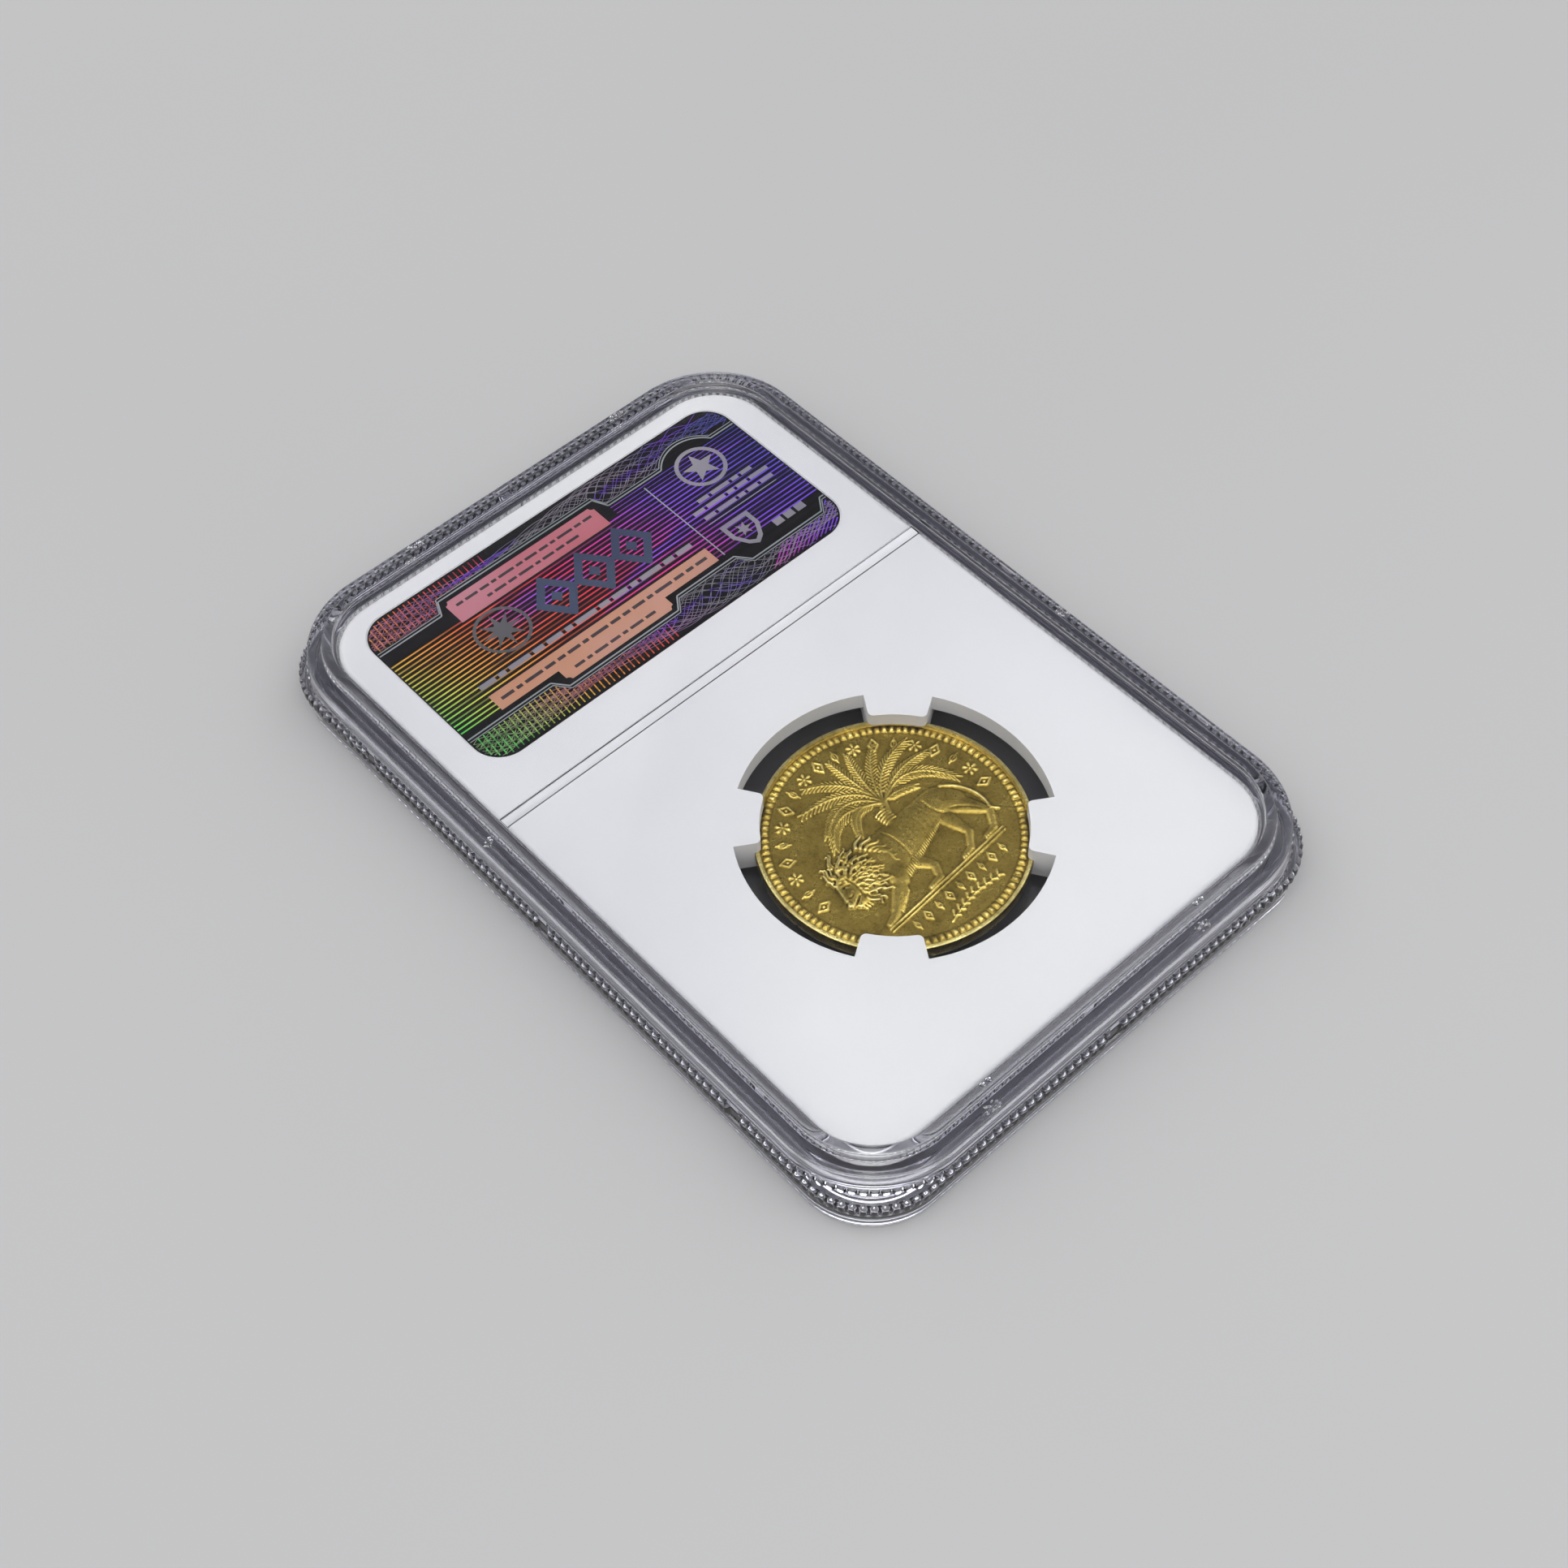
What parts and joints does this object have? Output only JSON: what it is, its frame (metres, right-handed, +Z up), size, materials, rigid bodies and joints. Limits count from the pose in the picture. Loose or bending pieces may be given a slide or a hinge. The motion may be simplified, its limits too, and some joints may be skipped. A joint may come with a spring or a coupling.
{
  "type": "coin slab",
  "caption": "Sealed clear plastic holder with a white insert, labels on both faces and a gold coin held on prongs.",
  "frame": {"origin": "middle of the footprint, on the surface the slab rests on (the front shell's stacking skirt)", "axes": "+X across the slab, +Y along it towards the label end, +Z up out of the rear face"},
  "size_m": [0.06, 0.086, 0.008],
  "materials": {
    "clear_plastic": "clear polystyrene, polished",
    "white_insert": "smooth matte white",
    "foil_label": "printed holographic foil on paper",
    "paper_label": "printed paper",
    "gold": "struck gold, worn lustre"
  },
  "bodies": {
    "slab": {"front_shell": "clear_plastic", "rear_shell": "clear_plastic", "coin_insert": "white_insert", "rear_label": "foil_label", "front_label": "paper_label"},
    "coin_body": {"coin": "gold"}
  },
  "joints": [
    {"name": "coin_turn", "type": "hinge", "parent": "slab", "child": "coin_body", "pos_m": [0, -0.015, 0.004], "axis": [0, 0, 1], "continuous": true}
  ]
}
